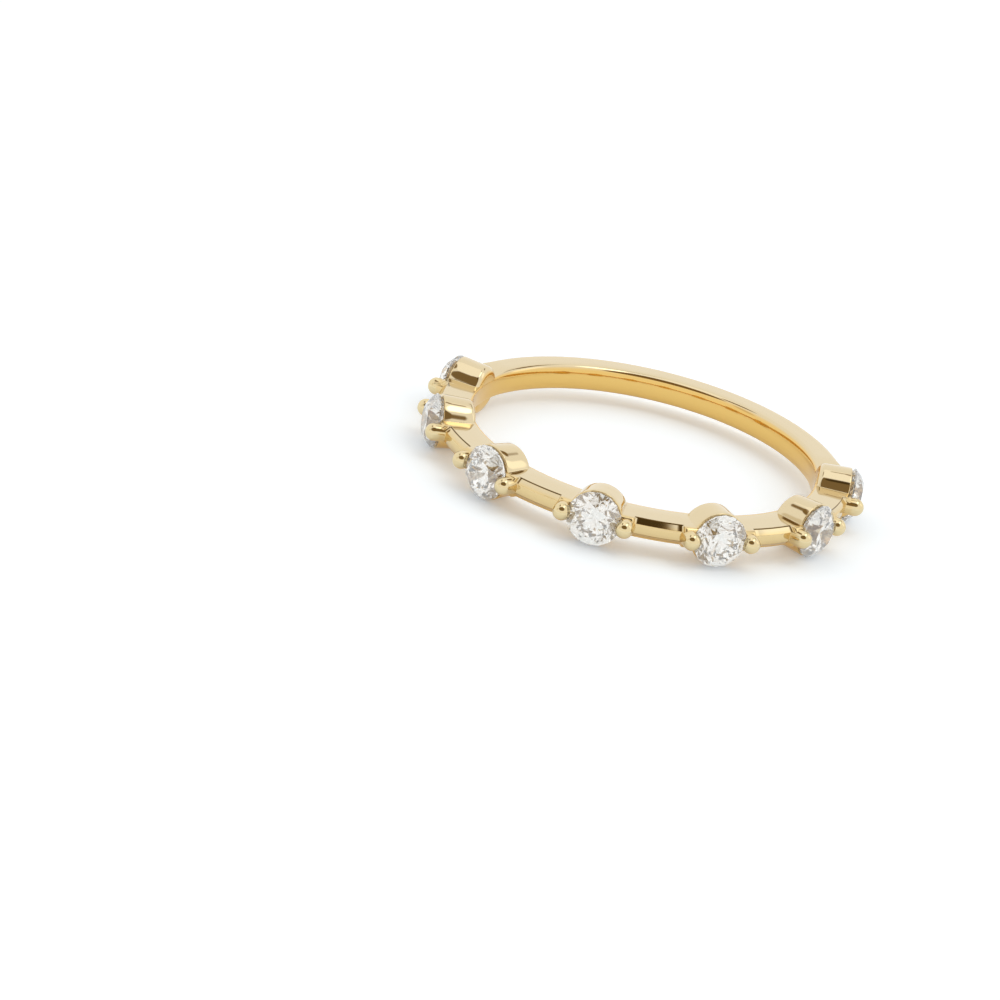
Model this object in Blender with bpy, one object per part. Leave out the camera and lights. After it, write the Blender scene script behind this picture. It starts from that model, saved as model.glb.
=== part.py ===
"""Stackable ring with seven round stones along its front half.

Blender's axes are used as they are: metres, +Z up. The ring lies flat on the plane z = 0 with its finger
hole along Z. The middle stone faces -Y and the plain shank is at +Y. The origin is the middle of the ring's
footprint.
"""

from math import atan, cos, pi, radians, sin, sqrt

import bmesh
import bpy
from mathutils import Matrix, Vector

MM = 0.001

# Finger hole
BORE_RADIUS = 8.5 * MM

# Stations round the hoop
STATION_COUNT = 7
STATION_PITCH = radians(33.4)

# Round brilliant stones, whose girdles stand proud of the bars' flanks
STONE_RADIUS = 1.3 * MM
GIRDLE_RISE = 0.34 * MM
GIRDLE_THICKNESS = 0.08 * MM
CROWN_HEIGHT = 0.45 * MM
PAVILION_DEPTH = 1.12 * MM
TABLE_SHARE = 0.57
STAR_SHARE = 0.5
LOWER_FACET_SHARE = 0.24
STONE_CLEARANCE = 0.04 * MM

# Bars between the stations
BAR_HALF_WIDTH = 0.5 * MM
BAR_FLANK_DEPTH = 1.5 * MM
BAR_CHAMFER = 0.22 * MM
BAR_CROWN = 0.03 * MM
BAR_INNER_ROUND = 0.04 * MM

# Shoulders that carry the prongs
SHOULDER_STEP = 0.23 * MM
SHOULDER_ROUND = 0.12 * MM
SHOULDER_OVERHANG = 0.28 * MM
END_SHOULDER_REACH = 0.37 * MM

# Plain shank
SHANK_HALF_WIDTH = 0.66 * MM
SHANK_THICKNESS = 1.62 * MM
SHANK_OUTER_ROUND = 0.32 * MM
SHANK_INNER_ROUND = 0.16 * MM
SHANK_BLEND = radians(15.0)

# Radial barrels under the stones
BARREL_LIP = 0.01 * MM
BARREL_TAPER = 0.09 * MM
RIM_DROP = 0.15 * MM
BARREL_SETBACK = 0.02 * MM
BARREL_END_DEPTH = 0.32 * MM
BARREL_END_DROP = 0.5 * MM

# Pilot holes at the bottom of the seats
PILOT_RADIUS = 0.25 * MM
PILOT_DEPTH = 0.1 * MM

# Ball tipped prongs
PRONG_RADIUS = 0.43 * MM
PRONG_BITE = 0.23 * MM
PRONG_BALL_RISE = 0.21 * MM
PRONG_ROOT = 0.8 * MM

# Fineness of the round surfaces
BAR_STEPS = 4
SHOULDER_STEPS = 6
SHANK_STEPS = 40
BARREL_SIDES = 36
BARREL_END_STEPS = 3
SEAT_SIDES = 32
PRONG_SIDES = 16
PRONG_RINGS = 4

# Corner at the finger hole: how its three points share the rounding
EASE_DEPTH = 0.3
EASE_FLANK = 1.2
EASE_SIDE = 0.9
EASE_BORE = 2.2
BORE_CROWN_SHARE = 0.1
FACE_EDGE_SHARE = 0.2

# Sharp edges of the shaded metal
SHARP_EDGE = radians(25.0)
MERGE_DISTANCE = 1e-7

# Places worked out from the sizes above
BAR_FLANK_RADIUS = BORE_RADIUS + BAR_FLANK_DEPTH
GIRDLE_SEAT_RADIUS = BAR_FLANK_RADIUS + GIRDLE_RISE
BARREL_RIM_RADIUS = STONE_RADIUS + BARREL_LIP
BARREL_INNER_RADIUS = BARREL_RIM_RADIUS - BARREL_TAPER
MAIN_FACE_RADIUS = BAR_FLANK_RADIUS + BAR_CHAMFER
SHOULDER_RADIUS = MAIN_FACE_RADIUS + SHOULDER_STEP
SHANK_RADIUS = BORE_RADIUS + SHANK_THICKNESS
PRONG_OFFSET = STONE_RADIUS + PRONG_RADIUS - PRONG_BITE
PRONG_BALL_CENTRE = GIRDLE_SEAT_RADIUS + PRONG_BALL_RISE
SHOULDER_HALF_ANGLE = atan((PRONG_OFFSET + SHOULDER_OVERHANG) / BAR_FLANK_RADIUS)
END_SHOULDER_ANGLE = atan(END_SHOULDER_REACH / BAR_FLANK_RADIUS)
GIRDLE_FOOT = GIRDLE_SEAT_RADIUS - GIRDLE_THICKNESS / 2
GIRDLE_TOP = GIRDLE_SEAT_RADIUS + GIRDLE_THICKNESS / 2
RIM_PLACE = GIRDLE_FOOT - RIM_DROP
TABLE_RADIUS = STONE_RADIUS * TABLE_SHARE
HALF_ROW = STATION_PITCH * (STATION_COUNT - 1) / 2
SHANK_START = HALF_ROW + END_SHOULDER_ANGLE
FRONT_REACH = PRONG_BALL_CENTRE + PRONG_RADIUS
CENTRE = Vector((0.0, (FRONT_REACH - SHANK_RADIUS) / 2, max(BARREL_RIM_RADIUS, STONE_RADIUS)))


def clear_scene():
    """Removes every object that the file opened with."""
    for thing in list(bpy.data.objects):
        bpy.data.objects.remove(thing)


def make_material(name, colour, metallic, roughness):
    """A plain Principled material."""
    material = bpy.data.materials.new(name)
    material.use_nodes = True
    shader = material.node_tree.nodes["Principled BSDF"]
    shader.inputs["Base Color"].default_value = (*colour, 1.0)
    shader.inputs["Metallic"].default_value = metallic
    shader.inputs["Roughness"].default_value = roughness
    material.diffuse_color = (*colour, 1.0)
    return material


def make_object(name, mesh, material):
    """Links one named object with its material."""
    thing = bpy.data.objects.new(name, mesh)
    bpy.context.scene.collection.objects.link(thing)
    if not mesh.materials:
        mesh.materials.append(material)
    return thing


def make_helper(name, mesh):
    """Links a solid that only joins or cuts another, left out of the part."""
    thing = bpy.data.objects.new(name, mesh)
    bpy.context.scene.collection.objects.link(thing)
    thing.hide_render = True
    thing.display_type = "WIRE"
    return thing


def mesh_of(name, shape):
    """Turns a closed bmesh into a mesh whose faces point out."""
    bmesh.ops.remove_doubles(shape, verts=shape.verts, dist=MERGE_DISTANCE)
    bmesh.ops.recalc_face_normals(shape, faces=shape.faces)
    mesh = bpy.data.meshes.new(name)
    shape.to_mesh(mesh)
    shape.free()
    return mesh


def station_angle(index):
    """The angle of a station from the middle stone, about the hoop's axis."""
    return (index - (STATION_COUNT - 1) / 2) * STATION_PITCH


def station_matrix(index):
    """Places a station's own frame: +X radially out, +Y along the hoop, +Z up, from the hoop's centre."""
    return Matrix.Translation(CENTRE) @ Matrix.Rotation(station_angle(index) - pi / 2, 4, "Z")


def mirrored(upper):
    """Closes a section from its upper half, listed from the finger side outwards."""
    return upper + [(radius, -height) for radius, height in reversed(upper)]


def inner_points(half_width, rounding):
    """The section's corner at the finger hole, rounded for comfort by the given size."""
    return [
        (BORE_RADIUS, half_width - EASE_BORE * rounding - BORE_CROWN_SHARE * half_width),
        (BORE_RADIUS + EASE_DEPTH * rounding, half_width - EASE_SIDE * rounding),
        (BORE_RADIUS + EASE_FLANK * rounding, half_width),
    ]


def outer_points(half_width, flank_radius, face_radius, rounding, crown):
    """The section's outer corner, from the end of the flank to the middle of the outer face."""
    middle = (flank_radius + face_radius) / 2
    bulge = (sqrt(2) - 1) * rounding / 2
    return [
        (flank_radius, half_width),
        (middle + bulge, half_width - (face_radius - flank_radius) / 2 + bulge),
        (face_radius, half_width - (face_radius - flank_radius)),
        (face_radius + crown, FACE_EDGE_SHARE * half_width),
    ]


def bar_section():
    """A bar: flat flanks, straight chamfers and a main face with a slight crown."""
    inner = inner_points(BAR_HALF_WIDTH, BAR_INNER_ROUND)
    return mirrored(inner + outer_points(BAR_HALF_WIDTH, BAR_FLANK_RADIUS, MAIN_FACE_RADIUS, 0.0, BAR_CROWN))


def shoulder_section():
    """A shoulder: the bar's width, standing out further to carry a prong."""
    inner = inner_points(BAR_HALF_WIDTH, BAR_INNER_ROUND)
    flank = SHOULDER_RADIUS - SHOULDER_ROUND
    return mirrored(inner + outer_points(BAR_HALF_WIDTH, flank, SHOULDER_RADIUS, SHOULDER_ROUND, BAR_CROWN))


def shank_section():
    """The plain shank: broad flanks and rounded edges."""
    inner = inner_points(SHANK_HALF_WIDTH, SHANK_INNER_ROUND)
    flank = SHANK_RADIUS - SHANK_OUTER_ROUND
    return mirrored(inner + outer_points(SHANK_HALF_WIDTH, flank, SHANK_RADIUS, SHANK_OUTER_ROUND, 0.0))


def blended(first, second, share):
    """A section between two others, with a soft start and end."""
    eased = share * share * (3 - 2 * share)
    return [(a + (c - a) * eased, b + (d - b) * eased) for (a, b), (c, d) in zip(first, second)]


def spread(start, end, steps):
    """Evenly spaced angles, both ends included."""
    return [start + (end - start) * step / steps for step in range(steps + 1)]


def hoop_sections():
    """The sections round the hoop, each with its angle from the middle stone."""
    placed = []
    for index in range(STATION_COUNT):
        middle = station_angle(index)
        start = max(middle - SHOULDER_HALF_ANGLE, -SHANK_START)
        end = min(middle + SHOULDER_HALF_ANGLE, SHANK_START)
        placed += [(angle, shoulder_section()) for angle in spread(start, end, SHOULDER_STEPS)]
        if index < STATION_COUNT - 1:
            next_start = station_angle(index + 1) - SHOULDER_HALF_ANGLE
            placed += [(angle, bar_section()) for angle in spread(end, next_start, BAR_STEPS)]
    shank_end = 2 * pi - SHANK_START
    for angle in spread(SHANK_START, shank_end, SHANK_STEPS)[1:-1]:
        from_row = min(angle - SHANK_START, shank_end - angle)
        share = min(1.0, from_row / SHANK_BLEND)
        placed.append((angle, blended(shoulder_section(), shank_section(), share)))
    return placed


def make_hoop():
    """The closed band: bars and shoulders along the front half, shank along the back."""
    shape = bmesh.new()
    rings = []
    for angle, section in hoop_sections():
        across = Vector((sin(angle), -cos(angle), 0.0))
        points = [CENTRE + across * radius + Vector((0, 0, height)) for radius, height in section]
        rings.append([shape.verts.new(point) for point in points])
    for ring, after in zip(rings, rings[1:] + rings[:1]):
        for place, vertex in enumerate(ring):
            beside = (place + 1) % len(ring)
            shape.faces.new((vertex, ring[beside], after[beside], after[place]))
    bmesh.ops.remove_doubles(shape, verts=shape.verts, dist=MERGE_DISTANCE)
    bmesh.ops.dissolve_degenerate(shape, edges=shape.edges, dist=MERGE_DISTANCE)
    return mesh_of("hoop", shape)


def add_lathe(shape, profile, sides, place):
    """Adds a solid turned about the local X axis, from a profile of (distance along X, radius)."""
    rings = []
    for along, radius in profile:
        if radius == 0.0:
            rings.append([shape.verts.new(place @ Vector((along, 0, 0)))])
            continue
        turns = [2 * pi * (side + 0.5) / sides for side in range(sides)]
        ring = [place @ Vector((along, radius * cos(turn), radius * sin(turn))) for turn in turns]
        rings.append([shape.verts.new(point) for point in ring])
    for ring, after in zip(rings, rings[1:]):
        for side in range(sides):
            beside = (side + 1) % sides
            corners = [ring[side % len(ring)], ring[beside % len(ring)]]
            corners += [after[beside % len(after)], after[side % len(after)]]
            shape.faces.new(list(dict.fromkeys(corners)))
    for end in (rings[0], rings[-1]):
        if len(end) > 1:
            shape.faces.new(end)


def barrel_profile():
    """Pairs of depth share and radius along a barrel: a soft finger end, then a straight wall to the rim."""
    length = RIM_PLACE - BORE_RADIUS - BARREL_SETBACK
    profile = []
    for step in range(BARREL_END_STEPS + 1):
        lift = step / BARREL_END_STEPS * pi / 2
        depth = BARREL_END_DEPTH * (1 - cos(lift))
        radius = BARREL_INNER_RADIUS + BARREL_TAPER * depth / length - BARREL_END_DROP * (1 - sin(lift))
        profile.append((depth / length, radius))
    return profile + [(1.0, BARREL_RIM_RADIUS)]


def add_barrel(shape, place):
    """Adds one barrel, whose finger end follows the bore and whose outer end is the stone's rim."""
    turns = [2 * pi * (side + 0.5) / BARREL_SIDES for side in range(BARREL_SIDES)]
    rings = []
    for share, radius in barrel_profile():
        ring = []
        for turn in turns:
            across = radius * cos(turn)
            finger_side = sqrt((BORE_RADIUS + BARREL_SETBACK) ** 2 - across**2)
            along = finger_side + (RIM_PLACE - finger_side) * share
            ring.append(shape.verts.new(place @ Vector((along, across, radius * sin(turn)))))
        rings.append(ring)
    for ring, after in zip(rings, rings[1:]):
        for side in range(BARREL_SIDES):
            beside = (side + 1) % BARREL_SIDES
            shape.faces.new((ring[side], ring[beside], after[beside], after[side]))
    shape.faces.new(rings[-1])
    inner = rings[0]
    for side in range(BARREL_SIDES // 2 - 1):
        below = BARREL_SIDES - 1 - side
        shape.faces.new((inner[side], inner[side + 1], inner[below - 1], inner[below]))


def make_barrels():
    """The seven barrels, as one mesh of separate solids."""
    shape = bmesh.new()
    for index in range(STATION_COUNT):
        add_barrel(shape, station_matrix(index))
    return mesh_of("barrels", shape)


def prong_profile():
    """A post and its ball tip, from the root outwards."""
    profile = [(PRONG_BALL_CENTRE - PRONG_ROOT, PRONG_RADIUS)]
    for ring in range(PRONG_RINGS):
        lift = ring / PRONG_RINGS * pi / 2
        profile.append((PRONG_BALL_CENTRE + PRONG_RADIUS * sin(lift), PRONG_RADIUS * cos(lift)))
    profile.append((PRONG_BALL_CENTRE + PRONG_RADIUS, 0.0))
    return profile


def make_prongs():
    """Two prongs at each station, beside the stone along the hoop."""
    shape = bmesh.new()
    for index in range(STATION_COUNT):
        for side in (-1, 1):
            place = station_matrix(index) @ Matrix.Translation((0, side * PRONG_OFFSET, 0))
            add_lathe(shape, prong_profile(), PRONG_SIDES, place)
    return mesh_of("prongs", shape)


def seat_profile():
    """The cut for a stone, blind towards the finger: a pilot hole, then the stone's own outline."""
    slope = STONE_RADIUS / PAVILION_DEPTH
    wall = STONE_RADIUS + STONE_CLEARANCE
    return [
        (GIRDLE_FOOT - PAVILION_DEPTH - PILOT_DEPTH, PILOT_RADIUS),
        (GIRDLE_FOOT - (wall - PILOT_RADIUS) / slope, PILOT_RADIUS),
        (GIRDLE_FOOT, wall),
        (GIRDLE_TOP + STONE_CLEARANCE / 2, wall),
        (GIRDLE_TOP + CROWN_HEIGHT + STONE_CLEARANCE, TABLE_RADIUS + STONE_CLEARANCE),
    ]


def make_seats():
    """The seven cuts that the stones sit in."""
    shape = bmesh.new()
    for index in range(STATION_COUNT):
        add_lathe(shape, seat_profile(), SEAT_SIDES, station_matrix(index))
    return mesh_of("seats", shape)


def add_boolean(thing, other, operation):
    """Joins or cuts with another closed solid. The exact solver loses the body at some sizes of the seats."""
    modifier = thing.modifiers.new(f"{operation.lower()} {other.name}", "BOOLEAN")
    modifier.operation = operation
    modifier.solver = "MANIFOLD"
    modifier.object = other


def make_ring_body(gold):
    """The cast metal: hoop, barrels and prongs joined, then cut for the stones."""
    body = make_object("ring_body", make_hoop(), gold)
    add_boolean(body, make_helper("barrel_solids", make_barrels()), "UNION")
    add_boolean(body, make_helper("prong_solids", make_prongs()), "UNION")
    add_boolean(body, make_helper("seat_cutters", make_seats()), "DIFFERENCE")
    body.data.shade_smooth()
    body.data.set_sharp_from_angle(angle=SHARP_EDGE)
    return body


def polar(along, radius, turn):
    """A point about the local X axis."""
    return Vector((along, radius * cos(turn), radius * sin(turn)))


def make_brilliant():
    """A round brilliant about the local X axis, table outwards: 57 facets and the girdle."""
    shape = bmesh.new()
    eighth = pi / 4
    half = eighth / 2
    table_place = GIRDLE_TOP + CROWN_HEIGHT
    crown_slope = CROWN_HEIGHT / (STONE_RADIUS - TABLE_RADIUS)
    star_radius = TABLE_RADIUS + (STONE_RADIUS - TABLE_RADIUS) * STAR_SHARE
    star_place = table_place - (star_radius * cos(half) - TABLE_RADIUS) * crown_slope
    lower_radius = STONE_RADIUS * LOWER_FACET_SHARE
    culet_place = GIRDLE_FOOT - PAVILION_DEPTH
    lower_place = culet_place + lower_radius * cos(half) * PAVILION_DEPTH / STONE_RADIUS
    table = [shape.verts.new(polar(table_place, TABLE_RADIUS, eighth * i)) for i in range(8)]
    stars = [shape.verts.new(polar(star_place, star_radius, eighth * i + half)) for i in range(8)]
    upper = [shape.verts.new(polar(GIRDLE_TOP, STONE_RADIUS, half * i)) for i in range(16)]
    lower = [shape.verts.new(polar(GIRDLE_FOOT, STONE_RADIUS, half * i)) for i in range(16)]
    deep = [shape.verts.new(polar(lower_place, lower_radius, eighth * i + half)) for i in range(8)]
    culet = shape.verts.new(polar(culet_place, 0.0, 0.0))
    shape.faces.new(table)
    for i in range(8):
        after = (i + 1) % 8
        corner, between, beyond = 2 * i, 2 * i + 1, (2 * i + 2) % 16
        shape.faces.new((table[i], stars[i], table[after]))
        shape.faces.new((table[i], stars[i - 1], upper[corner], stars[i]))
        shape.faces.new((stars[i], upper[corner], upper[between]))
        shape.faces.new((stars[i], upper[between], upper[beyond]))
        shape.faces.new((deep[i], lower[corner], lower[between]))
        shape.faces.new((deep[i], lower[between], lower[beyond]))
        shape.faces.new((culet, deep[i - 1], lower[corner], deep[i]))
    for i in range(16):
        after = (i + 1) % 16
        shape.faces.new((upper[i], upper[after], lower[after], lower[i]))
    return mesh_of("brilliant", shape)


def make_stones(crystal):
    """Seven stones that share one cut."""
    cut = make_brilliant()
    for index in range(STATION_COUNT):
        stone = make_object(f"stone_{index + 1}", cut, crystal)
        stone.matrix_world = station_matrix(index)


def main():
    """Builds the ring in an emptied scene."""
    clear_scene()
    gold = make_material("yellow gold", (0.83, 0.62, 0.3), 1.0, 0.16)
    crystal = make_material("clear stone", (0.93, 0.94, 0.95), 0.0, 0.02)
    make_ring_body(gold)
    make_stones(crystal)


main()
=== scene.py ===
"""Looks of a slim stackable ring: yellow gold, with seven round brilliant stones along its front half.

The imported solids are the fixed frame. The gold body is modelled again with its fine roundings and takes
the plain solid's place. The stones keep their cut solids and get their finish. Everything is in metres,
+Z up: the ring lies flat on z = 0, the middle stone faces -Y and the plain shank is at +Y.
"""

import logging
from dataclasses import dataclass, field
from enum import Enum
from math import atan, cos, pi, radians, sin, sqrt, tan
from typing import Any

import bmesh
import bpy
from mathutils import Matrix, Vector


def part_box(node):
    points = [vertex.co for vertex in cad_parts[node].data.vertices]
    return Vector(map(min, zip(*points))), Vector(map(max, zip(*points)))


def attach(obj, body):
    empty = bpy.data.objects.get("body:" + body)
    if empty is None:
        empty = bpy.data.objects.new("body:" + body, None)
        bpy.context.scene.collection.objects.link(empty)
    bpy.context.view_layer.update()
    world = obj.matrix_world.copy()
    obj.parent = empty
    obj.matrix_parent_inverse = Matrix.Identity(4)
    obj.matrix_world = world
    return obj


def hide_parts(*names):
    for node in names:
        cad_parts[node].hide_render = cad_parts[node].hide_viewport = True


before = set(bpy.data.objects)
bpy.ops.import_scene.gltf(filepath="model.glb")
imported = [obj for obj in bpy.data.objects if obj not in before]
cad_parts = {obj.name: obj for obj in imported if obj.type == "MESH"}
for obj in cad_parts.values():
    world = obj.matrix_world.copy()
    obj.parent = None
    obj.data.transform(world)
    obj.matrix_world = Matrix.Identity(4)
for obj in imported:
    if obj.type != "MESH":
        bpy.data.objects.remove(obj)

MM = 0.001
WELD_DISTANCE = 1e-6
BODY = "root"
SIDE_BLUR = 0.2
LOG = logging.getLogger("ring")

Ring = list[Vector]
Colour = tuple[float, float, float]

BRONZE_SHADE: Colour = (0.24, 0.16, 0.07)


class Slot(Enum):
    """The record's material slots."""

    GOLD = "gold"
    STONE = "stone"


class Join(Enum):
    """What a solid does to the one it meets."""

    ADD = "UNION"
    CUT = "DIFFERENCE"


@dataclass
class Signal:
    """A shader value that takes part in ordinary sums.

    Args:
        graph: the node graph that the value belongs to.
        socket: the output socket that gives it.
    """

    graph: "Graph"
    socket: bpy.types.NodeSocket

    def _math(self, operation: str, first: Any, second: Any) -> "Signal":
        """Adds one Math node on two values."""
        node = self.graph.node("ShaderNodeMath", {"operation": operation}, {0: first, 1: second})
        return Signal(self.graph, node.outputs[0])

    def __add__(self, other: Any) -> "Signal":
        """This value plus another."""
        return self._math("ADD", self, other)

    def __radd__(self, other: Any) -> "Signal":
        """Another value plus this one."""
        return self._math("ADD", other, self)

    def __mul__(self, other: Any) -> "Signal":
        """This value times another."""
        return self._math("MULTIPLY", self, other)

    def __rmul__(self, other: Any) -> "Signal":
        """Another value times this one."""
        return self._math("MULTIPLY", other, self)

    def __pow__(self, other: Any) -> "Signal":
        """This value raised to a power."""
        return self._math("POWER", self, other)


@dataclass
class Graph:
    """The nodes of one material or world.

    Args:
        tree: the node tree that is filled.
    """

    tree: bpy.types.NodeTree

    def node(self, kind: str, settings: dict[str, Any], sockets: dict[Any, Any]) -> bpy.types.Node:
        """Makes one node.

        Args:
            kind: the node's type.
            settings: its own settings, set first.
            sockets: values or links of its input sockets, by name or number.

        Returns:
            The new node.
        """
        made = self.tree.nodes.new(kind)
        for name, value in settings.items():
            setattr(made, name, value)
        for name, value in sockets.items():
            if isinstance(value, Signal):
                self.tree.links.new(value.socket, made.inputs[name])
            elif isinstance(value, bpy.types.NodeSocket):
                self.tree.links.new(value, made.inputs[name])
            else:
                made.inputs[name].default_value = value
        return made

    def object_place(self, scale: tuple[float, float, float] = (1.0, 1.0, 1.0)) -> bpy.types.NodeSocket:
        """Reads the object's own coordinates.

        Args:
            scale: how much they are stretched along each axis.

        Returns:
            The socket that gives them.
        """
        place = self.node("ShaderNodeTexCoord", {}, {})
        mapped = self.node("ShaderNodeMapping", {}, {"Vector": place.outputs["Object"], "Scale": scale})
        return mapped.outputs["Vector"]

    def noise(self, place: bpy.types.NodeSocket, scale: float, detail: float) -> Signal:
        """A soft noise from 0 to 1 at a place."""
        made = self.node("ShaderNodeTexNoise", {}, {"Vector": place, "Scale": scale, "Detail": detail})
        return Signal(self, made.outputs["Fac"])

    def rise(self, value: Signal, low: float, high: float) -> Signal:
        """Makes a soft step of a value.

        Args:
            value: the value that is stepped.
            low: where the step starts at 0, which may be above its other end.
            high: where the step reaches 1.

        Returns:
            The step, from 0 to 1.
        """
        sockets = {"Value": value, "From Min": low, "From Max": high}
        made = self.node("ShaderNodeMapRange", {"interpolation_type": "SMOOTHSTEP"}, sockets)
        return Signal(self, made.outputs["Result"])

    def dot(self, vector: bpy.types.NodeSocket, along: Vector) -> Signal:
        """How far a vector reaches along a fixed direction."""
        made = self.node("ShaderNodeVectorMath", {"operation": "DOT_PRODUCT"}, {0: vector, 1: tuple(along)})
        return Signal(self, made.outputs["Value"])

    def mix_colour(self, share: Signal, first: Any, second: Any) -> bpy.types.NodeSocket:
        """Mixes two colours.

        Args:
            share: how much of the second colour is in the mix.
            first: a fixed colour or a socket.
            second: a fixed colour or a socket.

        Returns:
            The socket that gives the mixed colour.
        """
        # The node has sockets for numbers, vectors and colours: the colours are inputs 6 and 7 and output 2.
        settings = {"data_type": "RGBA", "clamp_factor": True}
        ends = [(*end, 1.0) if isinstance(end, tuple) else end for end in (first, second)]
        made = self.node("ShaderNodeMix", settings, {0: share, 6: ends[0], 7: ends[1]})
        return made.outputs[2]


def new_material(name: str) -> tuple[bpy.types.Material, Graph, bpy.types.Node]:
    """Makes an empty Principled material.

    Args:
        name: the finish's plain name.

    Returns:
        The material, its graph and its Principled node.
    """
    material = bpy.data.materials.new(name)
    material.use_nodes = True
    graph = Graph(material.node_tree)
    return material, graph, material.node_tree.nodes["Principled BSDF"]


@dataclass(frozen=True)
class GoldFinish:
    """Polished yellow gold, pale on the flanks, with painted reflection as deeper gold on its other sides,
    painted shade stripes and the unevenness of a hand polish.

    Radii are distances from the hoop's axis and heights are over its middle plane. Each edge is the pair of
    places where a tone starts and where it is full.

    Args:
        centre: the hoop's centre.
        pale: the brighter tone of the flanks.
        worn: the duller tone of the flanks.
        outer: the outer side's deeper gold, painted reflection of warm surroundings.
        tip: the prong tips' tone.
        finger: the finger side's deeper gold, painted reflection of the ring's own gold across the hole.
        under: the lower side's deeper gold, painted reflection of warm surroundings below.
        painted_crease_shade: a dark stripe of painted shade in the crease where a bar's flank meets its
            chamfer.
        shade: a weaker stripe of painted shade along the lower edge of a bar's outer face.
    """

    centre: tuple[float, float, float]
    pale: Colour = (0.715, 0.60, 0.39)
    worn: Colour = (0.695, 0.57, 0.35)
    outer: Colour = (0.72, 0.55, 0.28)
    tip: Colour = (0.73, 0.60, 0.35)
    finger: Colour = (0.76, 0.50, 0.16)
    under: Colour = (0.74, 0.50, 0.20)
    painted_crease_shade: Colour = (0.14, 0.08, 0.02)
    shade: Colour = (0.42, 0.25, 0.07)
    finger_reflection_edge: tuple[float, float] = (8.66 * MM, 8.54 * MM)
    outer_reflection_edge: tuple[float, float] = (10.06 * MM, 10.24 * MM)
    tip_edge: tuple[float, float] = (10.46 * MM, 10.66 * MM)
    under_reflection_edge: tuple[float, float] = (-0.2 * MM, -0.4 * MM)
    # Where the two stripes of painted shade lie.
    painted_crease_radius: tuple[float, float] = (9.97 * MM, 10.03 * MM)
    painted_crease_height: tuple[float, float] = (0.44 * MM, 0.495 * MM)
    shade_radius: tuple[float, float] = (10.19 * MM, 10.26 * MM)
    shade_height: tuple[float, float] = (-0.265 * MM, -0.235 * MM)
    # How soft the edges of the painted shade stripes are.
    painted_shade_blur: float = 0.006 * MM
    tone_scale: float = 260.0
    tone_detail: float = 2.0
    roughness: float = 0.05
    roughness_swing: float = 0.06
    smear_scale: float = 900.0
    smear_detail: float = 4.0
    smear_stretch: tuple[float, float, float] = (1.0, 1.0, 3.0)
    smear_power: float = 2.0
    wave_scale: float = 420.0
    wave_detail: float = 1.0
    wave_height: float = 0.0016 * MM
    edge_round: float = 0.03 * MM
    edge_samples: int = 6

    def band(self, graph: Graph, value: Signal, ends: tuple[float, float]) -> Signal:
        """Marks the values between two ends.

        Args:
            graph: the material's graph.
            value: the value that is looked at.
            ends: the lower and the upper end.

        Returns:
            1 between the ends and 0 outside them, with soft edges.
        """
        low, high = ends
        above = graph.rise(value, low - self.painted_shade_blur, low + self.painted_shade_blur)
        below = graph.rise(value, high + self.painted_shade_blur, high - self.painted_shade_blur)
        return above * below

    def stripe(
        self, graph: Graph, radius: Signal, height: Signal, radii: tuple[float, float],
        heights: tuple[float, float]) -> Signal:
        """1 on a narrow stripe round the hoop, between two distances from the axis and two heights."""
        return self.band(graph, radius, radii) * self.band(graph, height, heights)

    def colour(self, graph: Graph) -> bpy.types.NodeSocket:
        """Colours the metal by distance from the hoop's axis and by height over the hoop's middle plane.

        Args:
            graph: the material's graph.

        Returns:
            The socket that gives the colour.
        """
        place = graph.node("ShaderNodeTexCoord", {}, {}).outputs["Object"]
        offset = graph.node("ShaderNodeVectorMath", {"operation": "SUBTRACT"}, {0: place, 1: self.centre})
        flat = graph.node(
            "ShaderNodeVectorMath", {"operation": "MULTIPLY"}, {0: offset.outputs[0], 1: (1.0, 1.0, 0.0)})
        length = graph.node("ShaderNodeVectorMath", {"operation": "LENGTH"}, {0: flat.outputs[0]})
        radius = Signal(graph, length.outputs["Value"])
        height = graph.dot(offset.outputs[0], Vector((0.0, 0.0, 1.0)))
        tone = graph.noise(place, self.tone_scale, self.tone_detail)
        colour = graph.mix_colour(tone, self.worn, self.pale)
        # Painted reflection: the outer side turns deeper gold, and the prong tips beyond it turn paler again.
        colour = graph.mix_colour(graph.rise(radius, *self.outer_reflection_edge), colour, self.outer)
        colour = graph.mix_colour(graph.rise(radius, *self.tip_edge), colour, self.tip)
        # Painted reflection: the lower side turns deeper gold.
        colour = graph.mix_colour(graph.rise(height, *self.under_reflection_edge), colour, self.under)
        # Painted reflection: the finger side turns deeper gold.
        colour = graph.mix_colour(graph.rise(radius, *self.finger_reflection_edge), colour, self.finger)
        # Painted shade: a dark stripe in the crease between a bar's flank and its chamfer.
        upper = self.stripe(graph, radius, height, self.painted_crease_radius, self.painted_crease_height)
        # Painted shade: a weaker stripe along the lower edge of a bar's outer face.
        lower = self.stripe(graph, radius, height, self.shade_radius, self.shade_height)
        return graph.mix_colour(lower, graph.mix_colour(upper, colour, self.painted_crease_shade), self.shade)

    def make(self) -> bpy.types.Material:
        """Builds the material.

        Returns:
            The material.
        """
        material, graph, shader = new_material("polished yellow gold")
        smear = graph.noise(graph.object_place(self.smear_stretch), self.smear_scale, self.smear_detail)
        wave = graph.noise(graph.object_place(), self.wave_scale, self.wave_detail)
        edge = graph.node("ShaderNodeBevel", {"samples": self.edge_samples}, {"Radius": self.edge_round})
        sockets = {"Height": wave, "Distance": self.wave_height, "Normal": edge.outputs["Normal"]}
        bump = graph.node("ShaderNodeBump", {}, sockets)
        rough = self.roughness + self.roughness_swing * smear**self.smear_power
        links = graph.tree.links
        links.new(self.colour(graph), shader.inputs["Base Color"])
        links.new(rough.socket, shader.inputs["Roughness"])
        links.new(bump.outputs["Normal"], shader.inputs["Normal"])
        shader.inputs["Metallic"].default_value = 1.0
        return material


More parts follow.
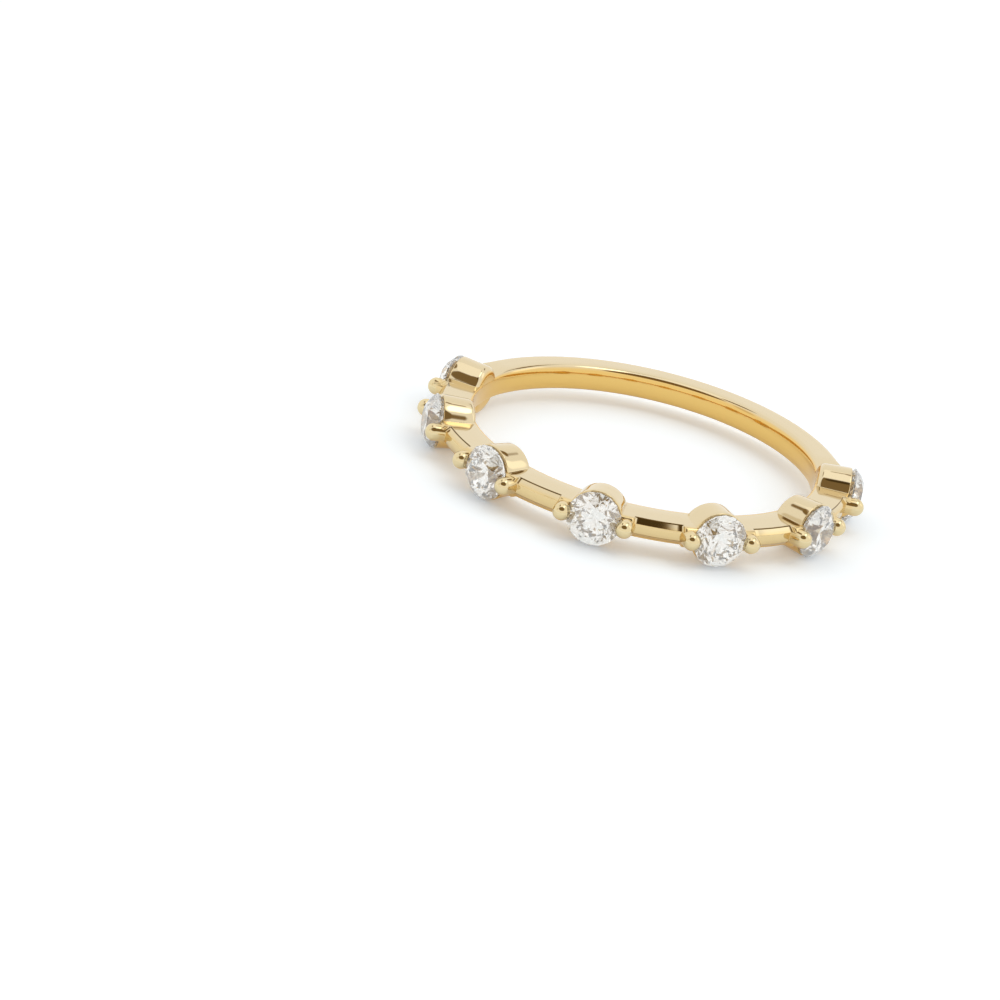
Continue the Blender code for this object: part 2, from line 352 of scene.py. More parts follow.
@dataclass(frozen=True)
class StoneFinish:
    """Clear, colourless, highly refracting stone with polished facets."""

    clear: Colour = (0.84, 0.83, 0.8)
    tinted: Colour = (0.77, 0.74, 0.68)
    refraction: float = 2.42
    cloud_scale: float = 2200.0
    cloud_detail: float = 2.0
    # Strength of a weak white glow: painted light.
    painted_glow: float = 0.015

    def make(self) -> bpy.types.Material:
        """Builds the material.

        Returns:
            The material.
        """
        material, graph, shader = new_material("clear brilliant stone")
        cloud = graph.noise(graph.object_place(), self.cloud_scale, self.cloud_detail)
        graph.tree.links.new(graph.mix_colour(cloud, self.clear, self.tinted), shader.inputs["Base Color"])
        shader.inputs["Roughness"].default_value = 0.0
        shader.inputs["IOR"].default_value = self.refraction
        shader.inputs["Transmission Weight"].default_value = 1.0
        # A weak white glow over the whole stone: painted light that lifts its dark facets.
        shader.inputs["Emission Color"].default_value = (1.0, 1.0, 1.0, 1.0)
        shader.inputs["Emission Strength"].default_value = self.painted_glow
        return material


@dataclass(frozen=True)
class FloorFinish:
    """A plain white matt surface."""

    colour: Colour = (0.9, 0.945, 0.985)
    glow: float = 0.2
    roughness: float = 0.9
    gloss: float = 0.1

    def make(self) -> bpy.types.Material:
        """Builds the material.

        Returns:
            The material.
        """
        material, _, shader = new_material("white surface")
        shader.inputs["Base Color"].default_value = (*self.colour, 1.0)
        shader.inputs["Roughness"].default_value = self.roughness
        shader.inputs["Specular IOR Level"].default_value = self.gloss
        shader.inputs["Emission Color"].default_value = (*self.colour, 1.0)
        shader.inputs["Emission Strength"].default_value = self.glow
        return material


class Bench:
    """The modelling operators, each used on one piece at a time."""

    @staticmethod
    def only(piece: bpy.types.Object) -> None:
        """Selects one piece alone and makes it active.

        Args:
            piece: the piece.
        """
        bpy.ops.object.select_all(action="DESELECT")
        piece.select_set(True)
        bpy.context.view_layer.objects.active = piece

    @staticmethod
    def start(name: str) -> bpy.types.Object:
        """Names the primitive that was just added.

        Args:
            name: its name.

        Returns:
            The primitive.
        """
        piece = bpy.context.object
        piece.name = name
        return piece

    @staticmethod
    def rolled(name: str, rings: list[Ring], endless: bool) -> bpy.types.Object:
        """Rolls a flat sheet up into a tube that follows a row of rings.

        Args:
            name: the piece's name.
            rings: the rings in order, each a closed row of as many points.
            endless: True if the last ring meets the first, and False if both ends are closed with faces.

        Returns:
            The tube, with its faces pointing out.
        """
        along = len(rings) if endless else len(rings) - 1
        around = len(rings[0])
        bpy.ops.object.select_all(action="DESELECT")
        bpy.ops.mesh.primitive_grid_add(x_subdivisions=along, y_subdivisions=around, size=1.0)
        piece = Bench.start(name)
        for vertex in piece.data.vertices:
            ring = rings[round((vertex.co.x + 0.5) * along) % len(rings)]
            vertex.co = ring[round((vertex.co.y + 0.5) * around) % around]
        bpy.ops.object.mode_set(mode="EDIT")
        bpy.ops.mesh.select_all(action="SELECT")
        bpy.ops.mesh.remove_doubles(threshold=WELD_DISTANCE)
        if not endless:
            Bench.close_ends(piece)
        bpy.ops.mesh.select_all(action="SELECT")
        bpy.ops.mesh.normals_make_consistent(inside=False)
        bpy.ops.object.mode_set(mode="OBJECT")
        return piece

    @staticmethod
    def close_ends(piece: bpy.types.Object) -> None:
        """Fills each open end with a ladder of faces, which follows a curved end.

        Args:
            piece: the tube, in edit mode.
        """
        shape = bmesh.from_edit_mesh(piece.data)
        loose = {edge for edge in shape.edges if edge.is_boundary}
        while loose:
            loop = Bench.walk(loose)
            half = len(loop) // 2
            for step in range(half - 1):
                shape.faces.new((loop[step], loop[step + 1], loop[-2 - step], loop[-1 - step]))
        bmesh.update_edit_mesh(piece.data)

    @staticmethod
    def walk(loose: set[bmesh.types.BMEdge]) -> list[bmesh.types.BMVert]:
        """Takes one closed row of boundary edges out of a set.

        Args:
            loose: the boundary edges that are left, from which the row's edges are taken.

        Returns:
            The row's corners in order.
        """
        edge = min(loose, key=lambda found: min(corner.index for corner in found.verts))
        first, corner = sorted(edge.verts, key=lambda found: found.index)
        row = [first]
        loose.discard(edge)
        while corner is not first:
            row.append(corner)
            edge = next(found for found in corner.link_edges if found in loose)
            loose.discard(edge)
            corner = edge.other_vert(corner)
        return row

    @staticmethod
    def apply(piece: bpy.types.Object, kind: str, settings: dict[str, Any]) -> None:
        """Adds one modifier and applies it.

        Args:
            piece: the piece that it shapes.
            kind: the modifier's type.
            settings: its settings, by name.
        """
        Bench.only(piece)
        modifier = piece.modifiers.new(kind.lower(), kind)
        for name, value in settings.items():
            setattr(modifier, name, value)
        bpy.ops.object.modifier_apply(modifier=modifier.name)

    @staticmethod
    def combine(piece: bpy.types.Object, other: bpy.types.Object, how: Join) -> None:
        """Joins another solid to a piece, or cuts it out, and removes the other."""
        Bench.apply(piece, "BOOLEAN", {"operation": how.value, "solver": "EXACT", "object": other})
        bpy.data.objects.remove(other)

    @staticmethod
    def copies(piece: bpy.types.Object, places: list[Matrix]) -> bpy.types.Object:
        """Sets a copy of a piece, with its own mesh, at each place and joins the copies.

        Args:
            piece: the piece, which is removed afterwards.
            places: where each copy goes.

        Returns:
            The one object that holds all the copies.
        """
        made = []
        for place in places:
            mesh = piece.data.copy()
            mesh.transform(place)
            copy = bpy.data.objects.new(piece.name, mesh)
            bpy.context.scene.collection.objects.link(copy)
            made.append(copy)
        bpy.data.objects.remove(piece)
        bpy.ops.object.select_all(action="DESELECT")
        for copy in made:
            copy.select_set(True)
        bpy.context.view_layer.objects.active = made[0]
        bpy.ops.object.join()
        return bpy.context.object


@dataclass
class Layout:
    """Where the hoop and its stations are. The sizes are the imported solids' own.

    Args:
        bore_radius: the finger hole's radius.
        shank_radius: the outer radius of the plain back half.
        station_count: how many stones there are.
        station_pitch: the angle from one stone to the next.
        girdle_radius: how far the stones' girdles lie from the hoop's axis.
        stone_radius: a stone's radius at its girdle.
        centre: the hoop's centre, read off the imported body.
    """

    bore_radius: float = 8.5 * MM
    shank_radius: float = 10.12 * MM
    station_count: int = 7
    station_pitch: float = radians(33.4)
    girdle_radius: float = 10.34 * MM
    stone_radius: float = 1.3 * MM
    centre: Vector = field(default_factory=Vector)

    def __post_init__(self) -> None:
        """Reads the hoop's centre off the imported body."""
        low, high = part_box("ring_body")
        self.centre = Vector((0.0, high.y - self.shank_radius, (low.z + high.z) / 2))

    def station_angle(self, index: int) -> float:
        """A station's angle from the middle stone."""
        return (index - (self.station_count - 1) / 2) * self.station_pitch

    def place(self, index: int) -> Matrix:
        """A station's own frame: +X out of the hoop, +Y along it, +Z up, from the hoop's centre."""
        return Matrix.Translation(self.centre) @ Matrix.Rotation(self.station_angle(index) - pi / 2, 4, "Z")

    def places(self) -> list[Matrix]:
        """Every station's own frame."""
        return [self.place(index) for index in range(self.station_count)]


@dataclass
class Corner:
    """One corner of a section.

    Args:
        radius: its distance from the hoop's axis.
        height: its height over the hoop's middle plane.
        rounding: the radius of its fillet, or nothing for a plain point.
    """

    radius: float
    height: float
    rounding: float = 0.0


@dataclass
class SectionSizes:
    """The sizes of one kind of section. The lip is the small step between a flank and its chamfer.

    Args:
        half_width: half the distance from flank to flank.
        inner_round: the fillet between the finger side and a flank.
        dome: how much farther out the finger side lies at its edges than in its middle.
        flank_radius: where a flank ends, from the hoop's axis.
        face_radius: where the outer face starts, from the hoop's axis.
        outer_drop: how far the outer face's edge lies below the flank.
        edge_round: the fillets at both ends of the chamfer.
        crown: how much farther out the outer face lies in its middle than at its edges.
        lip_reach: how far inwards of the flank's end the lip starts.
        lip_drop: how far the lip falls below the flank.
    """

    half_width: float
    inner_round: float
    dome: float
    flank_radius: float
    face_radius: float
    outer_drop: float
    edge_round: float
    crown: float
    lip_reach: float
    lip_drop: float


@dataclass
class Hoop:
    """The band: six bars with cut-down chamfers, a raised shoulder at every station and the plain shank.

    Args:
        layout: where the hoop and its stations are.
        bar: the section between two stations.
        shoulder: the raised section at a station.
        shank: the section of the plain back half.
        inner_clear: how far the finger side's points keep from a flank, in radii of the fillet there.
        outer_clear: how far the outer face's points keep from its edge, in radii of the fillet there.
        shoulder_reach: how far a shoulder reaches along the hoop from its station's middle.
        end_reach: the same on the shank's side of the two end stations.
        foot_round: the hollow fillet at a shoulder's foot.
        shank_blend: the angle over which the shoulder's section turns into the shank's.
    """

    layout: Layout
    bar: SectionSizes = field(default_factory=lambda: SectionSizes(
        half_width=0.5 * MM, inner_round=0.06 * MM, dome=0.015 * MM, flank_radius=10.0 * MM,
        face_radius=10.22 * MM, outer_drop=0.26 * MM, edge_round=0.015 * MM, crown=0.03 * MM,
        lip_reach=0.01 * MM, lip_drop=0.05 * MM))
    shoulder: SectionSizes = field(default_factory=lambda: SectionSizes(
        half_width=0.5 * MM, inner_round=0.06 * MM, dome=0.015 * MM, flank_radius=10.3 * MM,
        face_radius=10.45 * MM, outer_drop=0.15 * MM, edge_round=0.13 * MM, crown=0.03 * MM,
        lip_reach=0.3 * MM, lip_drop=0.0))
    shank: SectionSizes = field(default_factory=lambda: SectionSizes(
        half_width=0.66 * MM, inner_round=0.26 * MM, dome=0.1 * MM, flank_radius=9.84 * MM,
        face_radius=10.12 * MM, outer_drop=0.28 * MM, edge_round=0.3 * MM, crown=0.0,
        lip_reach=0.3 * MM, lip_drop=0.0))
    inner_clear: float = 1.3
    outer_clear: float = 0.5
    shoulder_reach: float = 1.78 * MM
    end_reach: float = 0.37 * MM
    foot_round: float = 0.13 * MM
    shank_blend: float = radians(15.0)
    arc_steps: int = 4
    ramp_steps: int = 5
    bar_steps: int = 10
    shoulder_steps: int = 12
    shank_steps: int = 110
    face_steps: int = 4

    def half_angle(self) -> float:
        """The angle from a station's middle to its shoulder's end."""
        return atan(self.shoulder_reach / self.bar.flank_radius)

    def corners(self, sizes: SectionSizes) -> list[Corner]:
        """Lists the corners of a section's upper half.

        Args:
            sizes: the section's sizes.

        Returns:
            The corners, from the finger side outwards.
        """
        bore = self.layout.bore_radius
        width = sizes.half_width
        face = width - self.inner_clear * sizes.inner_round
        row = []
        for step in range(self.face_steps):
            share = step / self.face_steps
            row.append(Corner(bore + sizes.dome * (share * face / width)**2, face * share))
        row.append(Corner(bore + sizes.dome, width, sizes.inner_round))
        row.append(Corner((bore + sizes.flank_radius) / 2, width))
        row.append(Corner(sizes.flank_radius - sizes.lip_reach, width))
        row.append(Corner(sizes.flank_radius, width - sizes.lip_drop, sizes.edge_round))
        edge = width - sizes.outer_drop
        row.append(Corner(sizes.face_radius, edge, sizes.edge_round))
        face = edge - self.outer_clear * sizes.edge_round
        for step in range(self.face_steps - 1, -1, -1):
            height = face * step / self.face_steps
            row.append(Corner(sizes.face_radius + sizes.crown * (1 - (height / edge)**2), height))
        return row

    def fillet(self, before: Corner, corner: Corner, after: Corner) -> list[tuple[float, float]]:
        """Rounds one corner.

        Args:
            before: the corner before it.
            corner: the corner that is rounded.
            after: the corner after it.

        Returns:
            The points of its arc, or the corner itself, as pairs of radius and height.
        """
        at = Vector((corner.radius, corner.height))
        if corner.rounding == 0.0:
            return [(at.x, at.y)]
        back = (Vector((before.radius, before.height)) - at).normalized()
        ahead = (Vector((after.radius, after.height)) - at).normalized()
        opening = back.angle(ahead)
        reach = corner.rounding / tan(opening / 2)
        middle = at + (back + ahead).normalized() * (corner.rounding / sin(opening / 2))
        start = at + back * reach - middle
        turn = pi - opening
        if start.x * ahead.y - start.y * ahead.x < 0:
            turn = -turn
        points = []
        for step in range(self.arc_steps + 1):
            angle = turn * step / self.arc_steps
            across = start.x * cos(angle) - start.y * sin(angle)
            upwards = start.x * sin(angle) + start.y * cos(angle)
            points.append((middle.x + across, middle.y + upwards))
        return points

    def outline(self, sizes: SectionSizes) -> list[tuple[float, float]]:
        """Works out a section's closed outline.

        Args:
            sizes: the section's sizes.

        Returns:
            Its points, as pairs of radius and height.
        """
        upper = self.corners(sizes)
        lower = [Corner(corner.radius, -corner.height, corner.rounding) for corner in upper[-2:0:-1]]
        row = upper + lower
        points = []
        for place, corner in enumerate(row):
            points += self.fillet(row[place - 1], corner, row[(place + 1) % len(row)])
        return points

    def ramp(self) -> list[tuple[float, float]]:
        """Works out the curved wall between a bar and a shoulder.

        Returns:
            Its points from the bar up, as pairs of place and share of the rise.
        """
        rise = self.shoulder.face_radius - self.bar.face_radius
        top_round = rise - self.foot_round
        row = []
        for step in range(self.ramp_steps + 1):
            turn = pi / 2 * step / self.ramp_steps
            row.append((self.foot_round * (1 - sin(turn)), self.foot_round * (1 - cos(turn)) / rise))
        for step in range(1, self.ramp_steps + 1):
            turn = pi / 2 * step / self.ramp_steps
            row.append((-top_round * (1 - cos(turn)), (rise - top_round + top_round * sin(turn)) / rise))
        return row

    def stops(self) -> list[tuple[float, float, float]]:
        """Lists the sections once round the hoop.

        Returns:
            Every section's angle, its share of the shoulder and its share of the shank.
        """
        layout = self.layout
        half = self.half_angle()
        end_half = atan(self.end_reach / self.bar.flank_radius)
        inside = (self.shoulder.face_radius - self.bar.face_radius - self.foot_round) / self.bar.flank_radius
        outside = self.foot_round / self.bar.flank_radius
        row = []
        for index in range(layout.station_count):
            middle = layout.station_angle(index)
            first = index == 0
            last = index == layout.station_count - 1
            if not first:
                wall = middle - half
                row += [(wall - reach / self.bar.flank_radius, share, 0.0) for reach, share in self.ramp()]
            start = middle - end_half if first else middle - half + inside
            end = middle + end_half if last else middle + half - inside
            steps = range(0 if first else 1, self.shoulder_steps + (1 if last else 0))
            row += [(start + (end - start) * step / self.shoulder_steps, 1.0, 0.0) for step in steps]
            if not last:
                down = reversed(self.ramp())
                row += [(middle + half + reach / self.bar.flank_radius, share, 0.0) for reach, share in down]
                start = middle + half + outside
                length = layout.station_pitch - 2 * (half + outside)
                for step in range(1, self.bar_steps):
                    row.append((start + length * step / self.bar_steps, 0.0, 0.0))
        start = layout.station_angle(layout.station_count - 1) + end_half
        length = 2 * pi - 2 * start
        for step in range(1, self.shank_steps):
            along = length * step / self.shank_steps
            share = min(1.0, min(along, length - along) / self.shank_blend)
            row.append((start + along, 1.0, share * share * (3 - 2 * share)))
        return row

    def build(self) -> bpy.types.Object:
        """Models the band.

        Returns:
            The band.
        """
        bar = self.outline(self.bar)
        shoulder = self.outline(self.shoulder)
        shank = self.outline(self.shank)
        rings = []
        for angle, rise, back in self.stops():
            across = Vector((sin(angle), -cos(angle), 0.0))
            ring = []
            for (bar_r, bar_h), (shoulder_r, shoulder_h), (shank_r, shank_h) in zip(bar, shoulder, shank):
                radius = bar_r + (shoulder_r - bar_r) * rise
                height = bar_h + (shoulder_h - bar_h) * rise
                radius += (shank_r - radius) * back
                height += (shank_h - height) * back
                ring.append(self.layout.centre + across * radius + Vector((0.0, 0.0, height)))
            rings.append(ring)
        return Bench.rolled("gold_body", rings, endless=True)


@dataclass
class Barrel:
    """One radial barrel under a stone, with fillets where it rises out of the flanks.

    Args:
        layout: where the hoop and its stations are.
        flank_height: the flanks' height over the hoop's middle plane.
        inner_radius: its radius at the finger end.
        rim_radius: its radius at the rim.
        rim_place: how far the rim lies from the hoop's axis.
        setback: how far the finger end keeps back from the bore.
        foot_round: the fillet between barrel and flank.
        foot_sink: how far that fillet's foot is sunk into the flank.
        end_depth: how far the finger end's rounding reaches along the barrel.
        end_drop: how far it reaches across the barrel.
        rim_round: the fillet at the rim.
    """

    layout: Layout
    flank_height: float = 0.5 * MM
    inner_radius: float = 1.22 * MM
    rim_radius: float = 1.31 * MM
    rim_place: float = 10.15 * MM
    setback: float = 0.02 * MM
    foot_round: float = 0.05 * MM
    foot_sink: float = 0.003 * MM
    end_depth: float = 0.32 * MM
    end_drop: float = 0.5 * MM
    rim_round: float = 0.05 * MM
    end_steps: int = 8
    rim_steps: int = 4
    wall_steps: int = 4
    arc_steps: int = 40
    foot_steps: int = 5

    def outline(self, radius: float) -> list[tuple[float, float]]:
        """Works out a cross-section, with the fillets at its feet.

        Args:
            radius: the barrel's radius there.

        Returns:
            Its points, as pairs of place along the hoop and height.
        """
        foot_height = self.flank_height + self.foot_round
        foot_place = sqrt((radius + self.foot_round) ** 2 - foot_height**2)
        lean = atan(foot_place / foot_height)
        half = [(foot_place + self.foot_round, self.flank_height - 2 * self.foot_sink)]
        for step in range(self.foot_steps):
            turn = lean * step / self.foot_steps
            place = foot_place - self.foot_round * sin(turn)
            half.append((place, foot_height - self.foot_sink - self.foot_round * cos(turn)))
        for step in range(self.arc_steps + 1):
            turn = lean * (1 - 2 * step / self.arc_steps)
            half.append((radius * sin(turn), radius * cos(turn)))
        feet = [(-place, height) for place, height in reversed(half[:self.foot_steps + 1])]
        upper = half + feet
        return upper + [(place, -height) for place, height in reversed(upper)]

    def profile(self) -> list[tuple[float, float]]:
        """Works out the barrel's side, with its rounded ends.

        Returns:
            Its points from the finger end to the rim, as pairs of depth share and radius.
        """
        length = self.rim_place - self.layout.bore_radius - self.setback
        slope = (self.rim_radius - self.inner_radius) / length
        row = []
        for step in range(self.end_steps + 1):
            lift = pi / 2 * step / self.end_steps
            depth = self.end_depth * (1 - cos(lift))
            row.append((depth / length, self.inner_radius + slope * depth - self.end_drop * (1 - sin(lift))))
        wall_end = length - self.rim_round
        for step in range(1, self.wall_steps):
            depth = self.end_depth + (wall_end - self.end_depth) * step / self.wall_steps
            row.append((depth / length, self.inner_radius + slope * depth))
        for step in range(self.rim_steps + 1):
            turn = pi / 2 * step / self.rim_steps
            depth = wall_end + self.rim_round * sin(turn)
            row.append((depth / length, self.inner_radius + slope * depth - self.rim_round * (1 - cos(turn))))
        return row

    def build(self) -> bpy.types.Object:
        """Models one barrel in a station's own frame.

        Returns:
            The barrel.
        """
        rings = []
        for share, radius in self.profile():
            ring = []
            for place, height in self.outline(radius):
                finger_side = sqrt((self.layout.bore_radius + self.setback) ** 2 - place**2)
                ring.append(Vector((finger_side + (self.rim_place - finger_side) * share, place, height)))
            rings.append(ring)
        return Bench.rolled("barrel", rings, endless=False)


@dataclass
class Prong:
    """A post with a ball tip, beside the stone along the hoop.

    Args:
        layout: where the hoop and its stations are.
        radius: the radius of the ball and the post.
        bite: how far it reaches over the stone's edge.
        rise: how far the ball's middle lies outwards of the girdle.
        root: how far inwards of the ball's middle the post ends.
        segments: the sides round the post.
        rings: the steps over the ball.
    """

    layout: Layout
    radius: float = 0.43 * MM
    bite: float = 0.23 * MM
    rise: float = 0.21 * MM
    root: float = 0.8 * MM
    segments: int = 48
    rings: int = 24

    def build(self) -> bpy.types.Object:
        """Models both prongs of one station in its own frame, each a ball with its inner half drawn down.

        Returns:
            Both prongs as one object.
        """
        ball_place = self.layout.girdle_radius + self.rise
        bpy.ops.object.select_all(action="DESELECT")
        bpy.ops.mesh.primitive_uv_sphere_add(
            segments=self.segments, ring_count=self.rings, radius=self.radius, rotation=(0.0, pi / 2, 0.0))
        piece = Bench.start("prong")
        bpy.ops.object.transform_apply(location=True, rotation=True, scale=True)
        inner = [vertex for vertex in piece.data.vertices if vertex.co.x < -WELD_DISTANCE]
        for vertex in inner:
            vertex.co.x = -self.root
        side = self.layout.stone_radius + self.radius - self.bite
        return Bench.copies(piece, [Matrix.Translation((ball_place, way * side, 0.0)) for way in (-1, 1)])


@dataclass
class Seat:
    """The cut that a stone sits in, blind towards the finger, with a pilot hole at its foot.

    Args:
        layout: where the hoop and its stations are.
        pilot_radius: the pilot hole's radius.
        pilot_depth: how far it goes past the stone's point.
        clearance: the gap that the seat keeps from the stone.
        girdle_thickness: the height of the stone's girdle.
        crown_height: the stone's height over its girdle.
        pavilion_depth: the stone's depth under its girdle.
        table_share: the table's width as a share of the stone's.
        sides: the sides round the cut.
    """

    layout: Layout
    pilot_radius: float = 0.25 * MM
    pilot_depth: float = 0.1 * MM
    clearance: float = 0.04 * MM
    girdle_thickness: float = 0.08 * MM
    crown_height: float = 0.45 * MM
    pavilion_depth: float = 1.12 * MM
    table_share: float = 0.57
    sides: int = 72

    def profile(self) -> list[tuple[float, float]]:
        """Works out the cut's outline.

        Returns:
            Its points from the pilot hole outwards, as pairs of place and radius.
        """
        stone = self.layout.stone_radius
        wall = stone + self.clearance
        foot = self.layout.girdle_radius - self.girdle_thickness / 2
        top = self.layout.girdle_radius + self.girdle_thickness / 2
        return [
            (foot - self.pavilion_depth - self.pilot_depth, self.pilot_radius),
            (foot - (wall - self.pilot_radius) * self.pavilion_depth / stone, self.pilot_radius),
            (foot, wall),
            (top + self.clearance / 2, wall),
            (top + self.crown_height + self.clearance, stone * self.table_share + self.clearance),
        ]

    def build(self) -> bpy.types.Object:
        """Models the cutter in a station's own frame, drawn out step by step from a disc.

        Returns:
            The cutter.
        """
        start, radius = self.profile()[0]
        bpy.ops.object.select_all(action="DESELECT")
        bpy.ops.mesh.primitive_circle_add(
            vertices=self.sides, radius=radius, fill_type="NGON", location=(start, 0.0, 0.0),
            rotation=(0.0, pi / 2, 0.0))
        piece = Bench.start("seat_cutter")
        bpy.ops.object.transform_apply(location=True, rotation=True, scale=True)
        bpy.ops.object.mode_set(mode="EDIT")
        bpy.ops.mesh.select_all(action="SELECT")
        for place, wanted in self.profile()[1:]:
            bpy.ops.mesh.extrude_region_move(TRANSFORM_OT_translate={"value": (place - start, 0.0, 0.0)})
            growth = wanted / radius
            bpy.ops.transform.resize(value=(1.0, growth, growth), center_override=(place, 0.0, 0.0))
            start, radius = place, wanted
        bpy.ops.mesh.select_all(action="SELECT")
        bpy.ops.mesh.normals_make_consistent(inside=False)
        bpy.ops.object.mode_set(mode="OBJECT")
        return piece


@dataclass
class GoldBody:
    """The cast metal: band, barrels and prongs in one, cut for the stones."""

    layout: Layout
    smooth_angle: float = radians(32.0)
    normal_weight: int = 100

    def build(self) -> bpy.types.Object:
        """Models and dresses the metal.

        Returns:
            The finished metal.
        """
        body = Hoop(self.layout).build()
        places = self.layout.places()
        Bench.combine(body, Bench.copies(Barrel(self.layout).build(), places), Join.ADD)
        Bench.combine(body, Bench.copies(Prong(self.layout).build(), places), Join.ADD)
        Bench.combine(body, Bench.copies(Seat(self.layout).build(), places), Join.CUT)
        Bench.only(body)
        bpy.ops.object.shade_smooth_by_angle(angle=self.smooth_angle)
        Bench.apply(body, "WEIGHTED_NORMAL", {"keep_sharp": True, "weight": self.normal_weight})
        body.data.materials.clear()
        body.data.materials.append(GoldFinish(tuple(self.layout.centre)).make())
        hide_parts("ring_body")
        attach(body, BODY)
        return body


@dataclass
class Stones:
    """The seven brilliants, whose cut solids stay as they are."""

    layout: Layout
    finish: StoneFinish = field(default_factory=StoneFinish)

    def dress(self) -> list[bpy.types.Object]:
        """Gives every stone its finish.

        Returns:
            The stones in order.
        """
        material = self.finish.make()
        stones = []
        for index in range(self.layout.station_count):
            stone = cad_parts[f"stone_{index + 1}"]
            stone.data.materials.clear()
            stone.data.materials.append(material)
            for face in stone.data.polygons:
                face.use_smooth = False
            stones.append(stone)
        return stones


@dataclass(frozen=True)
class Zone:
    """An oval patch of the surroundings with a colour of its own.

    Args:
        azimuth: the side its middle lies on, in degrees from -Y towards +X.
        elevation: how high its middle lies, in degrees.
        half_width: how far it reaches to either side, in degrees.
        half_height: how far it reaches up and down, in degrees.
        edge: how soft its edge is, as a share of its reach.
        colour: its colour.
    """

    azimuth: float
    elevation: float
    half_width: float
    half_height: float
    edge: float
    colour: Colour

    def share(self, graph: Graph, direction: bpy.types.NodeSocket) -> Signal:
        """Marks the patch.

        Args:
            graph: the world's graph.
            direction: the socket that gives the direction looked in.

        Returns:
            1 in the patch and 0 outside it, with a soft edge.
        """
        side = radians(self.azimuth)
        lift = radians(self.elevation)
        toward = Vector((cos(lift) * sin(side), -cos(lift) * cos(side), sin(lift)))
        across = Vector((cos(side), sin(side), 0.0)) / sin(radians(self.half_width))
        upwards = Vector((-sin(lift) * sin(side), sin(lift) * cos(side), cos(lift)))
        upwards = upwards / sin(radians(self.half_height))
        reach = graph.dot(direction, across) ** 2.0 + graph.dot(direction, upwards) ** 2.0
        # Directions on the opposite side reach as little across, so they are left out here.
        ahead = graph.rise(graph.dot(direction, toward), 0.0, SIDE_BLUR)
        return graph.rise(reach, 1.0 + self.edge, 1.0 - self.edge) * ahead


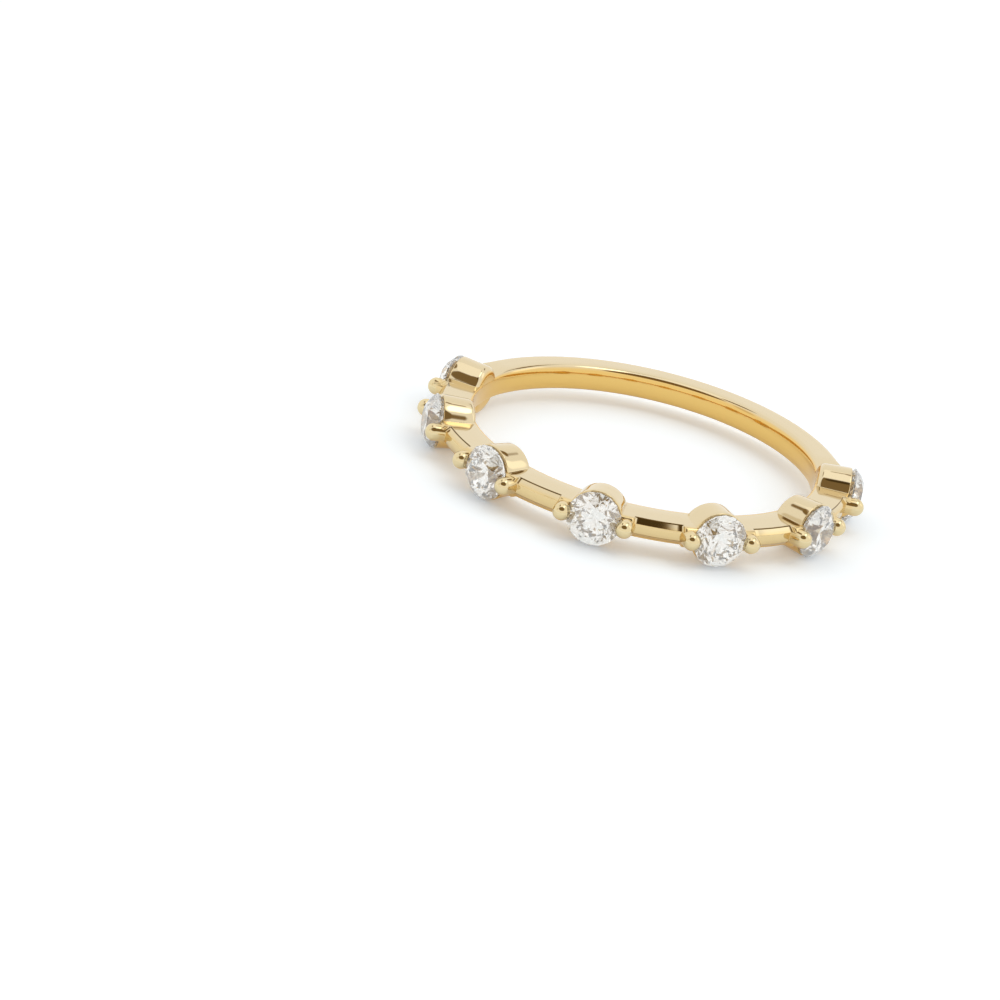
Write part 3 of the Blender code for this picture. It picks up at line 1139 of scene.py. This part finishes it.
@dataclass
class Studio:
    """The white surface, the soft light and the camera.

    Args:
        layout: where the hoop and its stations are.
        floor_reach: the white surface's side.
        focal_length: the camera's focal length in millimetres.
        sensor_width: its sensor's width in millimetres.
        camera_place: where it stands, from the hoop's centre.
        camera_right: the direction to the right in its picture.
        camera_up: the direction upwards in its picture.
        camera_range: the nearest and farthest that it sees.
        light_place: where the overhead light hangs.
        floor: the white surface's finish.
        walls: the colour of the walls all round.
        brightness: how bright the walls are.
        zones: the parts of the walls with a colour of their own, each over the ones before it.
    """

    layout: Layout
    floor_reach: float = 3.0
    focal_length: float = 126.0
    sensor_width: float = 36.0
    camera_place: tuple[float, float, float] = (21.326 * MM, -157.21 * MM, 60.259 * MM)
    camera_right: tuple[float, float, float] = (0.94685768, 0.24982705, 0.20260057)
    camera_up: tuple[float, float, float] = (-0.2789967, 0.32444471, 0.90382325)
    camera_range: tuple[float, float] = (0.01, 10.0)
    light_place: tuple[float, float, float] = (0.0, 0.03, 0.35)
    light_size: float = 0.3
    light_power: float = 0.05
    glossy_bounces: int = 12
    transmission_bounces: int = 16
    max_bounces: int = 24
    floor: FloorFinish = field(default_factory=FloorFinish)
    walls: Colour = (1.0, 1.0, 1.0)
    brightness: float = 1.1
    zones: tuple[Zone, ...] = (
        Zone(2.0, 50.0, 34.0, 24.0, 0.12, (0.22, 0.15, 0.07)),
        Zone(20.0, 67.0, 10.0, 6.0, 0.4, (0.07, 0.045, 0.015)),
        Zone(-95.0, 63.0, 14.0, 6.0, 0.3, BRONZE_SHADE),
        Zone(172.0, 68.0, 7.0, 3.5, 0.4, BRONZE_SHADE),
        Zone(158.0, 46.0, 12.0, 4.5, 0.4, BRONZE_SHADE),
        Zone(-56.0, 24.0, 8.0, 12.0, 0.5, (0.78, 0.72, 0.62)),
        Zone(98.0, 72.0, 14.0, 8.0, 0.4, (2.2, 2.2, 2.05)),
        Zone(112.0, 32.0, 9.0, 16.0, 0.5, (1.35, 1.35, 1.3)),
    )

    def lay_floor(self) -> bpy.types.Object:
        """Adds the white surface that the ring lies on.

        Returns:
            The surface.
        """
        bpy.ops.object.select_all(action="DESELECT")
        bpy.ops.mesh.primitive_plane_add(size=self.floor_reach)
        piece = Bench.start("white_surface")
        piece.data.materials.append(self.floor.make())
        return piece

    def set_world(self) -> None:
        """Surrounds the ring with white walls that have a few darker and brighter zones."""
        world = bpy.data.worlds.new("studio")
        bpy.context.scene.world = world
        world.use_nodes = True
        graph = Graph(world.node_tree)
        background = world.node_tree.nodes["Background"]
        direction = graph.node("ShaderNodeTexCoord", {}, {}).outputs["Generated"]
        colour: Any = self.walls
        for zone in self.zones:
            colour = graph.mix_colour(zone.share(graph, direction), colour, zone.colour)
        graph.tree.links.new(colour, background.inputs["Color"])
        background.inputs["Strength"].default_value = self.brightness

    def add_light(self) -> None:
        """Adds one weak, soft light over the ring."""
        place = Vector(self.light_place)
        bpy.ops.object.select_all(action="DESELECT")
        bpy.ops.object.light_add(type="AREA", location=place)
        light = Bench.start("overhead_light")
        light.data.size = self.light_size
        light.data.energy = self.light_power
        light.rotation_mode = "QUATERNION"
        light.rotation_quaternion = (self.layout.centre - place).to_track_quat("-Z", "Y")

    def set_camera(self) -> None:
        """Sets the camera where the photograph was taken from."""
        right = Vector(self.camera_right)
        up = Vector(self.camera_up)
        back = right.cross(up)
        turn = Matrix((right, up, back)).transposed().to_4x4()
        place = self.layout.centre + Vector(self.camera_place)
        bpy.ops.object.select_all(action="DESELECT")
        bpy.ops.object.camera_add()
        camera = Bench.start("camera")
        camera.matrix_world = Matrix.Translation(place) @ turn
        camera.data.lens = self.focal_length
        camera.data.sensor_width = self.sensor_width
        camera.data.clip_start, camera.data.clip_end = self.camera_range
        bpy.context.scene.camera = camera

    def build(self) -> bpy.types.Object:
        """Sets the whole studio up.

        Returns:
            The white surface.
        """
        surface = self.lay_floor()
        self.set_world()
        self.add_light()
        self.set_camera()
        scene = bpy.context.scene
        scene.view_settings.view_transform = "Standard"
        scene.cycles.glossy_bounces = self.glossy_bounces
        scene.cycles.transmission_bounces = self.transmission_bounces
        scene.cycles.max_bounces = self.max_bounces
        return surface


def main() -> None:
    """Builds the ring's looks in order and reports each piece."""
    logging.basicConfig(level=logging.INFO, format="%(name)s: %(message)s")
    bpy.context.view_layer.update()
    layout = Layout()
    pieces = [GoldBody(layout).build(), *Stones(layout).dress(), Studio(layout).build()]
    for piece in pieces:
        LOG.info("%s: %d faces", piece.name, len(piece.data.polygons))


if __name__ == "__main__":
    main()
